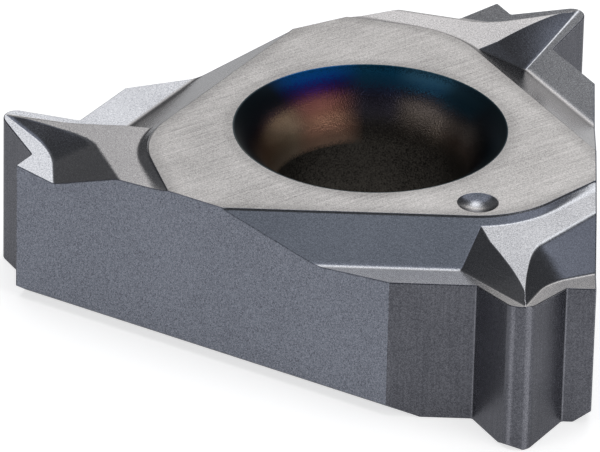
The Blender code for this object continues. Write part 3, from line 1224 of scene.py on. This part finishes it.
@dataclass(frozen=True)
class CoatedFinish:
    """Coated carbide: two tones mixed by its grain or its grinding lines, a fine relief, and where asked a
    painted shade near the top land's edges.
    """

    name: str
    dark: Colour
    light: Colour
    roughness: float
    roughness_swing: float = 0.08
    relief: float = 0.0008
    lines: tuple[float, float, float, float] | None = None
    line_share: float = 0.6
    band_share: float = 0.2
    grain: float = 26.0
    speck_share: float = 0.6
    cloud_share: float = 0.15
    tone_span: tuple[float, float] = (0.15, 0.85)
    edge_tint: float = 0.75
    rim_shade_span: tuple[float, float] | None = None
    rim_shade_tone: float = 0.80

    def texture(self, sheet: NodeSheet, effects: Effects) -> tuple[Socket, Socket]:
        """Adds the pattern.

        Args:
            sheet: Nodes of the material.
            effects: The shared groups.

        Returns:
            The tone from 0 to 1, and the relief's height.
        """
        grain = sheet.node("ShaderNodeGroup", node_tree=effects.grain)
        grain.inputs["Grain per mm"].default_value = self.grain
        grain.inputs["Specks per mm"].default_value = self.grain * 2
        relief = sheet.blend(self.speck_share, grain.outputs["Grain"], grain.outputs["Specks"])
        if self.lines is not None:
            lines = sheet.node("ShaderNodeGroup", node_tree=effects.lines)
            for socket, value in zip(lines.inputs, self.lines):
                socket.default_value = value
            drawn = sheet.blend(self.band_share, lines.outputs["Lines"], lines.outputs["Bands"])
            relief = sheet.blend(self.line_share, relief, drawn)
        clouds = sheet.node("ShaderNodeGroup", node_tree=effects.clouds).outputs[0]
        return sheet.blend(self.cloud_share, relief, clouds), relief

    def base_colour(self, sheet: NodeSheet, tone: Socket) -> Socket:
        """Adds the colour that the tone picks, darkened near the top land's edges by a painted shade where a
        span is given.
        """
        colour = sheet.mix(sheet.spread(tone, *self.tone_span), self.dark, self.light)
        if self.rim_shade_span is None:
            return colour
        # Painted shade: the colour darkens towards the edges of the top land.
        gap = sheet.node("ShaderNodeAttribute", attribute_name=LAND_GAP).outputs["Fac"]
        painted_rim_shade = sheet.spread(gap, *self.rim_shade_span, 1.0, 0.0)
        return sheet.mix(painted_rim_shade, colour, (self.rim_shade_tone,) * 3, "MULTIPLY")

    def roughness_value(self, sheet: NodeSheet, relief: Socket) -> Socket:
        """Adds the roughness, which follows the relief."""
        swing = self.roughness_swing / 2
        return sheet.spread(relief, 0.0, 1.0, self.roughness - swing, self.roughness + swing)

    def make(self, effects: Effects) -> bpy.types.Material:
        """Makes the material.

        Args:
            effects: The shared groups.

        Returns:
            The material.
        """
        material = bpy.data.materials.new(self.name)
        material.use_nodes = True
        sheet = NodeSheet(material.node_tree)
        shader = material.node_tree.nodes["Principled BSDF"]
        tone, relief = self.texture(sheet, effects)
        shader.inputs["Metallic"].default_value = 1.0
        shader.inputs["Specular Tint"].default_value = (self.edge_tint, self.edge_tint, self.edge_tint, 1.0)
        roughness = self.roughness_value(sheet, relief)
        bump = sheet.node("ShaderNodeBump", {"Height": relief, "Strength": 1.0, "Distance": self.relief * MM})
        links = material.node_tree.links
        links.new(self.base_colour(sheet, tone), shader.inputs["Base Color"])
        links.new(roughness, shader.inputs["Roughness"])
        links.new(bump.outputs[0], shader.inputs["Normal"])
        return material


@dataclass(frozen=True)
class Sector:
    """Side of the countersink whose coating has its own bands of colour, from the rim down. In some sectors
    the light bands are a painted reflection of a side lamp.
    """

    heading: float
    full_angle: float
    end_angle: float
    bands: Bands

    def mask(self, sheet: NodeSheet, ray: Socket) -> Socket:
        """Adds the mask of the sector.

        Args:
            sheet: Nodes of the material.
            ray: Unit vector in plan from the hole's axis.

        Returns:
            1 inside the sector's full angle from its heading, 0 outside its end angle.
        """
        heading, full, end = map(math.radians, (self.heading, self.full_angle, self.end_angle))
        way = (math.sin(heading), math.cos(heading), 0.0)
        cosine = sheet.node("ShaderNodeVectorMath", {0: ray, 1: way}, operation="DOT_PRODUCT")
        inputs = {0: cosine.outputs["Value"], 1: math.cos(end), 2: math.cos(full), 3: 0.0, 4: 1.0}
        return sheet.node("ShaderNodeMapRange", inputs, interpolation_type="SMOOTHSTEP").outputs[0]


SEAT_BANDS: Bands = [
    (0.00, (0.02, 0.04, 0.05)), (0.06, (0.03, 0.06, 0.08)), (0.16, (0.03, 0.05, 0.07)),
    (0.26, (0.03, 0.034, 0.044)), (0.45, (0.036, 0.034, 0.04)), (0.80, (0.045, 0.04, 0.036)),
]
# The coating's blue tints round the hole; the light lower bands of the sectors at 46 and 64 degrees are a
# painted reflection of the left lamp.
DARK_SECTORS = (
    Sector(8.0, 8.0, 36.0, [
        (0.00, (0.006, 0.035, 0.055)), (0.06, (0.01, 0.08, 0.14)), (0.16, (0.025, 0.10, 0.18)),
        (0.24, (0.04, 0.05, 0.10)), (0.34, (0.036, 0.033, 0.05)), (0.75, (0.04, 0.036, 0.036)),
    ]),
    Sector(64.0, 12.0, 36.0, [
        (0.00, (0.02, 0.04, 0.05)), (0.12, (0.03, 0.042, 0.055)), (0.25, (0.04, 0.04, 0.043)),
        (0.42, (0.13, 0.113, 0.10)), (0.65, (0.30, 0.26, 0.23)), (0.90, (0.14, 0.12, 0.105)),
    ]),
    Sector(46.0, 5.0, 22.0, [
        (0.00, (0.02, 0.045, 0.06)), (0.08, (0.03, 0.075, 0.10)), (0.20, (0.022, 0.06, 0.09)),
        (0.30, (0.032, 0.033, 0.04)), (0.42, (0.08, 0.066, 0.058)), (0.70, (0.13, 0.108, 0.092)),
        (0.90, (0.08, 0.07, 0.06)),
    ]),
    Sector(26.0, 2.0, 17.0, [
        (0.00, (0.02, 0.055, 0.075)), (0.06, (0.05, 0.15, 0.21)), (0.16, (0.03, 0.11, 0.19)),
        (0.22, (0.025, 0.033, 0.05)), (0.30, (0.042, 0.036, 0.036)), (0.37, (0.062, 0.052, 0.048)),
        (0.50, (0.05, 0.042, 0.037)), (0.70, (0.054, 0.045, 0.04)),
    ]),
)
# Warm sectors whose light bands are painted reflections of the side lamps; the sector at -28 degrees also
# holds the coating's blue and purple tints.
WARM_SECTORS = (
    Sector(-98.0, 14.0, 34.0, [
        (0.00, (0.02, 0.03, 0.035)), (0.10, (0.03, 0.032, 0.036)), (0.20, (0.08, 0.06, 0.055)),
        (0.35, (0.20, 0.155, 0.125)), (0.70, (0.32, 0.24, 0.19)), (1.00, (0.10, 0.08, 0.065)),
    ]),
    Sector(-66.0, 12.0, 40.0, [
        (0.00, (0.02, 0.034, 0.042)), (0.20, (0.024, 0.026, 0.034)), (0.28, (0.06, 0.036, 0.038)),
        (0.36, (0.17, 0.118, 0.08)), (0.50, (0.24, 0.175, 0.12)), (0.68, (0.40, 0.30, 0.21)),
        (0.90, (0.38, 0.295, 0.22)), (1.00, (0.10, 0.08, 0.065)),
    ]),
    Sector(-28.0, 3.0, 25.0, [
        (0.00, (0.005, 0.065, 0.17)), (0.05, (0.005, 0.095, 0.31)), (0.11, (0.012, 0.045, 0.25)),
        (0.17, (0.045, 0.02, 0.15)), (0.24, (0.065, 0.019, 0.05)), (0.32, (0.095, 0.036, 0.034)),
        (0.48, (0.085, 0.038, 0.028)), (0.60, (0.16, 0.085, 0.058)), (0.72, (0.34, 0.18, 0.125)),
        (0.92, (0.34, 0.215, 0.155)), (1.00, (0.10, 0.08, 0.065)),
    ]),
)


@dataclass(frozen=True)
class TintAndPaintedReflectionSeatFinish(CoatedFinish):
    """Countersink, where the coating thins and its colour changes down the wall and round the hole. Its light
    warm patches are painted reflections of the side lamps.

    Places are in millimetres in the row's frame.
    """

    axis: tuple[float, float] = (0.0, 0.0)
    top: float = Blank().thickness
    depth: float = ScrewHole().seat_depth
    stir: float = 0.12
    worn_span: tuple[float, float] = (0.6, 0.92)
    foot_roughness: float = 0.5
    relief_span: tuple[float, float] = (0.1, 0.3)
    rim_relief: float = 0.1

    def down(self, sheet: NodeSheet) -> Socket:
        """Adds the share of the countersink's depth, 0 at its rim."""
        place = sheet.node("ShaderNodeTexCoord").outputs["Object"]
        height = sheet.node("ShaderNodeSeparateXYZ", {0: place}).outputs[2]
        return sheet.spread(height, self.top * MM, (self.top - self.depth) * MM)

    def ray(self, sheet: NodeSheet) -> Socket:
        """Adds the unit vector in plan from the hole's axis."""
        place = sheet.node("ShaderNodeTexCoord").outputs["Object"]
        axis = (self.axis[0] * MM, self.axis[1] * MM, 0.0)
        offset = sheet.node("ShaderNodeVectorMath", {0: place, 1: axis}, operation="SUBTRACT")
        inputs = {0: offset.outputs[0], 1: (1.0, 1.0, 0.0)}
        flat = sheet.node("ShaderNodeVectorMath", inputs, operation="MULTIPLY")
        return sheet.node("ShaderNodeVectorMath", {0: flat.outputs[0]}, operation="NORMALIZE").outputs[0]

    def base_colour(self, sheet: NodeSheet, tone: Socket) -> Socket:
        """Adds the bands of colour down the countersink, stirred by the tone: the coating's tints, and
        painted reflections of the side lamps.
        """
        level = sheet.math("SUBTRACT", self.down(sheet), self.stir / 2)
        stirred = sheet.math("MULTIPLY_ADD", tone, self.stir, level)
        ray = self.ray(sheet)
        colour = sheet.ramp(stirred, SEAT_BANDS)
        for sector in DARK_SECTORS:
            colour = sheet.mix(sector.mask(sheet, ray), colour, sheet.ramp(stirred, sector.bands))
        worn = sheet.spread(stirred, *self.worn_span)
        colour = sheet.mix(worn, colour, super().base_colour(sheet, tone))
        for sector in WARM_SECTORS:
            colour = sheet.mix(sector.mask(sheet, ray), colour, sheet.ramp(stirred, sector.bands))
        return colour

    def roughness_value(self, sheet: NodeSheet, relief: Socket) -> Socket:
        """Adds the roughness, which grows towards the foot of the countersink."""
        return sheet.spread(self.down(sheet), *self.worn_span, self.roughness, self.foot_roughness)

    def texture(self, sheet: NodeSheet, effects: Effects) -> tuple[Socket, Socket]:
        """Adds the pattern, whose relief fades towards the rim."""
        tone, relief = super().texture(sheet, effects)
        share = sheet.spread(self.down(sheet), *self.relief_span, self.rim_relief, 1.0)
        return tone, sheet.math("MULTIPLY", relief, share)


def finishes(effects: Effects, axis: tuple[float, float]) -> list[bpy.types.Material]:
    """Makes the finish of every region.

    Args:
        effects: The shared groups.
        axis: Place of the hole's axis in the row's frame, in millimetres.

    Returns:
        The materials, in the regions' order.
    """
    made = {
        Region.LAND: CoatedFinish(
            "ground_land", dark=(0.19, 0.185, 0.182), light=(0.70, 0.682, 0.672), roughness=0.34,
            roughness_swing=0.12, relief=0.0009, lines=(math.radians(-38), 1.2, 42.0, 1.0), line_share=0.35,
            rim_shade_span=(0.10, 0.30),
        ),
        Region.PRESSED: CoatedFinish(
            "pressed_chip_breaker", dark=(0.25, 0.252, 0.265), light=(0.52, 0.52, 0.535), roughness=0.20,
            relief=0.0005,
        ),
        # The side faces, foot chamfers and ground flanks take the coating's colour much darker than the top
        # land: partly their own finish, partly painted shade.
        Region.SIDE: CoatedFinish(
            "pressed_side_painted_shade", dark=(0.066, 0.072, 0.089), light=(0.225, 0.240, 0.283), roughness=0.38,
            roughness_swing=0.1, relief=0.0010, cloud_share=0.06,
        ),
        Region.FLANK: CoatedFinish(
            "ground_flank_painted_shade", dark=(0.064, 0.066, 0.078), light=(0.185, 0.188, 0.212), roughness=0.26,
            relief=0.0006, lines=(0.0, 24.0, 24.0, 0.7), line_share=0.2,
        ),
        Region.SEAT: TintAndPaintedReflectionSeatFinish(
            "countersink_tint_and_painted_reflections", dark=(0.02, 0.018, 0.016), light=(0.11, 0.10, 0.087), roughness=0.31,
            roughness_swing=0.10, relief=0.0042, grain=20.0, axis=axis,
        ),
        Region.BORE: CoatedFinish(
            "rough_bore", dark=(0.02, 0.018, 0.016), light=(0.11, 0.10, 0.087), roughness=0.5,
            roughness_swing=0.2, relief=0.002, grain=14.0,
        ),
        Region.BASE: CoatedFinish(
            "ground_seat_face", dark=(0.22, 0.217, 0.215), light=(0.60, 0.592, 0.588), roughness=0.36,
            roughness_swing=0.1, relief=0.0008, lines=(math.radians(-35), 0.9, 30.0, 1.0),
        ),
    }
    return [made[region].make(effects) for region in Region]


@dataclass(frozen=True)
class Lamp:
    """Soft rectangular lamp, aimed at the insert."""

    name: str
    azimuth: float
    elevation: float
    distance: float
    width: float
    height: float
    brightness: float
    colour: Colour = (1.0, 1.0, 1.0)
    mirrored: bool = True

    def build(self, target: Vector) -> None:
        """Adds the lamp.

        Args:
            target: Point that it faces.
        """
        light = bpy.data.lights.new(self.name, "AREA")
        light.shape = "RECTANGLE"
        light.size = self.width
        light.size_y = self.height
        light.energy = self.brightness * math.pi * self.width * self.height
        light.color = self.colour
        lamp = bpy.data.objects.new(self.name, light)
        azimuth, elevation = math.radians(self.azimuth), math.radians(self.elevation)
        level = math.cos(elevation)
        away = Vector((math.sin(azimuth) * level, math.cos(azimuth) * level, math.sin(elevation)))
        lamp.location = target + away * self.distance
        lamp.rotation_euler = away.to_track_quat("Z", "Y").to_euler()
        lamp.visible_camera = False
        lamp.visible_glossy = self.mirrored
        bpy.context.scene.collection.objects.link(lamp)


@dataclass(frozen=True)
class Photograph:
    """The fitted view: angles in degrees, lengths in millimetres, pixels of a 600 by 452 picture."""

    width: int = 600
    height: int = 452
    elevation: float = 27.74
    roll: float = 1.58
    azimuth: float = 0.515
    distance: float = 161.8
    pixels_per_mm: float = 47.462
    hole_u: float = 370.34
    hole_v: float = 127.50
    sensor: float = 36.0
    clip_start: float = 0.01

    def axes(self) -> Matrix:
        """Right, down and forward unit vectors of the view, as rows."""
        elevation, roll, azimuth = map(math.radians, (self.elevation, self.roll, self.azimuth))
        turn = Matrix.Rotation(-azimuth, 3, "Z")
        tilt = Matrix(((1, 0, 0), (0, -math.sin(elevation), -math.cos(elevation)),
                       (0, math.cos(elevation), -math.sin(elevation))))
        return Matrix.Rotation(roll, 3, "Z") @ tilt @ turn

    def build(self, hole: Vector) -> None:
        """Adds the camera.

        Args:
            hole: Middle of the hole in the plane of the top land, in metres.
        """
        right, down, forward = self.axes()
        focal = self.pixels_per_mm * self.distance
        camera = bpy.data.cameras.new("camera")
        camera.sensor_width = self.sensor
        camera.lens = focal / self.width * self.sensor
        camera.clip_start = self.clip_start
        holder = bpy.data.objects.new("camera", camera)
        middle_u, middle_v = self.width / 2, self.height / 2
        aim = forward * focal + right * (middle_u - self.hole_u) + down * (middle_v - self.hole_v)
        aim.normalize()
        across = (right - aim * right.dot(aim)).normalized()
        below = aim.cross(across)
        matrix = Matrix((across, -below, -aim)).transposed().to_4x4()
        matrix.translation = hole - forward * (self.distance * MM)
        holder.matrix_world = matrix
        bpy.context.scene.collection.objects.link(holder)
        bpy.context.scene.camera = holder


LAMPS = (
    Lamp("right_softbox", 124.0, 24.0, 0.5, 0.30, 0.36, 2.6, (1.0, 0.985, 0.96)),
    Lamp("right_strip", 72.0, 10.0, 0.5, 0.16, 0.16, 2.6, (1.0, 0.97, 0.92)),
    Lamp("left_softbox", -123.0, 27.0, 0.5, 0.20, 0.26, 2.6, (1.0, 0.98, 0.96)),
    Lamp("left_strip", -70.0, 7.0, 0.5, 0.14, 0.12, 1.4, (1.0, 0.97, 0.92)),
    Lamp("overhead_softbox", 0.0, 80.0, 0.5, 0.50, 0.50, 1.6, mirrored=False),
)


@dataclass(frozen=True)
class Window:
    """Brightness of the window behind the insert, by azimuth and by elevation in degrees."""

    azimuths: tuple[float, float] = (-50.0, 50.0)
    elevations: tuple[float, float] = (-10.0, 90.0)
    across: Points = (
        (-42.0, 0.0), (-34.0, 0.05), (-20.0, 0.03), (-13.0, 0.06), (-9.0, 0.22), (-5.0, 0.60), (-1.0, 0.84),
        (4.0, 0.96), (8.0, 1.0), (12.0, 0.9), (17.0, 0.35), (23.0, 0.04), (30.0, 0.0),
    )
    up: Points = (
        (-5.0, 0.24), (8.0, 0.31), (16.0, 0.48), (24.0, 0.84), (29.0, 0.62), (33.0, 0.46), (37.0, 0.82),
        (42.0, 1.0), (49.0, 1.0), (54.0, 0.9), (60.0, 0.25), (66.0, 0.0),
    )
    low_colour: Colour = (2.40, 2.31, 2.22)
    high_colour: Colour = (2.33, 2.38, 2.45)
    colour_span: tuple[float, float] = (27.0, 36.0)

    def light(self, sheet: NodeSheet, azimuth: Socket, elevation: Socket) -> Socket:
        """Adds the light that comes through the window.

        Args:
            sheet: Nodes of the world.
            azimuth: Angle from +Y towards +X, in degrees.
            elevation: Angle above the horizon, in degrees.

        Returns:
            The light's colour and strength.
        """
        across = sheet.curve(azimuth, *self.azimuths, self.across)
        up = sheet.curve(elevation, *self.elevations, self.up)
        colour = sheet.mix(sheet.spread(elevation, *self.colour_span), self.low_colour, self.high_colour)
        return sheet.mix(sheet.math("MULTIPLY", across, up), BLACK, colour)


@dataclass(frozen=True)
class Studio:
    """Pale floor, white background and soft light.

    A span is the pair of values between which one part of the room gives way to the next: elevations in
    degrees, shares of Y in the direction, or cosines from side_way.
    """

    window: Window = Window()
    floor_size: float = 1.2
    floor_colour: Colour = (0.60, 0.60, 0.60)
    floor_glow: float = 0.63
    floor_shine: float = 0.35
    floor_roughness: float = 0.12
    dusk: Colour = (0.075, 0.078, 0.085)
    low_sky: Colour = (0.40, 0.435, 0.53)
    high_sky: Colour = (0.30, 0.335, 0.395)
    sky_span: tuple[float, float] = (60.0, 85.0)
    sky_start: tuple[float, float] = (49.0, 59.0)
    sky_back: tuple[float, float] = (-0.25, -0.05)
    side_way: tuple[float, float, float] = (0.4287, 0.3115, 0.8480)
    side_span: tuple[float, float] = (0.962, 0.992)
    side_gain: float = 1.15
    wall: Colour = (0.72, 0.73, 0.75)
    wall_band: Points = ((0.0, 0.0), (8.0, 1.0), (20.0, 1.0), (27.0, 0.0))
    wall_front: tuple[float, float] = (0.12, -0.10)
    horizon: tuple[float, float] = (-4.0, -1.0)

    def build_floor(self) -> None:
        """Adds the floor, which the camera sees as white with the insert's shadow."""
        shape = bmesh.new()
        bmesh.ops.create_grid(shape, x_segments=1, y_segments=1, size=self.floor_size / 2)
        mesh = bpy.data.meshes.new("floor")
        shape.to_mesh(mesh)
        shape.free()
        material = bpy.data.materials.new("floor_white")
        material.use_nodes = True
        material.node_tree.nodes.clear()
        sheet = NodeSheet(material.node_tree)
        glow = sheet.math("MULTIPLY", self.shown(sheet), self.floor_glow)
        light = sheet.node("ShaderNodeEmission", {"Strength": glow})
        matt = sheet.node("ShaderNodeBsdfDiffuse", {"Color": (*self.floor_colour, 1.0)})
        both = sheet.node("ShaderNodeAddShader", {0: light.outputs[0], 1: matt.outputs[0]})
        shine = sheet.node("ShaderNodeBsdfGlossy", {"Roughness": self.floor_roughness})
        mirrored = sheet.node("ShaderNodeLightPath").outputs["Is Glossy Ray"]
        share = sheet.math("MULTIPLY", mirrored, self.floor_shine)
        whole = sheet.node("ShaderNodeMixShader", {0: share, 1: both.outputs[0], 2: shine.outputs[0]})
        sheet.node("ShaderNodeOutputMaterial", {0: whole.outputs[0]})
        mesh.materials.append(material)
        floor = bpy.data.objects.new("floor", mesh)
        bpy.context.scene.collection.objects.link(floor)

    @staticmethod
    def shown(sheet: NodeSheet) -> Socket:
        """Adds a value that is 1 for what camera, metal and glass show and 0 for the light they receive."""
        paths = sheet.node("ShaderNodeLightPath")
        direct = sheet.math("MAXIMUM", paths.outputs["Is Camera Ray"], paths.outputs["Is Transmission Ray"])
        return sheet.math("MAXIMUM", direct, paths.outputs["Is Glossy Ray"])

    def build_world(self) -> None:
        """Adds the room.

        Metal mirrors a window behind the insert, a pale sky above it and on one side, a pale low wall on the
        camera's side, and dusk elsewhere. The camera and glass see plain white, and so does metal below the
        horizon.
        """
        world = bpy.data.worlds.new("studio")
        world.use_nodes = True
        world.node_tree.nodes.clear()
        bpy.context.scene.world = world
        sheet = NodeSheet(world.node_tree)
        way = sheet.node("ShaderNodeTexCoord").outputs["Generated"]
        x, y, z = sheet.node("ShaderNodeSeparateXYZ", {0: way}).outputs
        azimuth = sheet.math("DEGREES", sheet.math("ARCTAN2", x, y))
        elevation = sheet.math("DEGREES", sheet.math("ARCSINE", z))
        behind = sheet.spread(y, *self.sky_back)
        above = sheet.math("MULTIPLY", sheet.spread(elevation, *self.sky_start), behind)
        beside = sheet.node("ShaderNodeVectorMath", {0: way, 1: self.side_way}, operation="DOT_PRODUCT")
        side = sheet.spread(beside.outputs["Value"], *self.side_span, 0.0, self.side_gain)
        sky_share = sheet.math("MAXIMUM", above, side)
        sky = sheet.mix(sheet.spread(elevation, *self.sky_span), self.low_sky, self.high_sky)
        band = sheet.curve(elevation, *self.window.elevations, self.wall_band)
        around = sheet.math("MULTIPLY", band, sheet.spread(y, *self.wall_front))
        room = sheet.mix(around, sheet.mix(sky_share, self.dusk, sky), self.wall)
        lit = sheet.mix(1.0, room, self.window.light(sheet, azimuth, elevation), "ADD")
        paths = sheet.node("ShaderNodeLightPath")
        below = sheet.spread(elevation, *self.horizon, 1.0, 0.0)
        mirrored = sheet.math("MULTIPLY", paths.outputs["Is Glossy Ray"], below)
        direct = sheet.math("MAXIMUM", paths.outputs["Is Camera Ray"], paths.outputs["Is Transmission Ray"])
        colour = sheet.mix(sheet.math("MAXIMUM", direct, mirrored), lit, WHITE)
        light = sheet.node("ShaderNodeBackground", {"Color": colour, "Strength": 1.0})
        sheet.node("ShaderNodeOutputWorld", {0: light.outputs[0]})


def main() -> None:
    """Builds the insert's surface and the studio round it."""
    logging.basicConfig(level=logging.INFO, format="%(message)s")
    bpy.context.scene.view_settings.view_transform = "Standard"
    low, high = solid_box
    surface = InsertSurface()
    outline, _ = surface.outline()
    middle = (outline.min(0) + outline.max(0)) / 2
    shift = np.array([*((low + high) / 2 / MM).xy - Vector(middle), high.z / MM])
    made = surface.build("insert_surface", shift, finishes(Effects(), tuple(shift[:2])))
    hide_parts(BODY_NODE)
    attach(made, "root")
    hole = Vector(shift) * MM
    studio = Studio()
    studio.build_floor()
    studio.build_world()
    for lamp in LAMPS:
        lamp.build(hole)
    Photograph().build(hole)


if __name__ == "__main__":
    main()
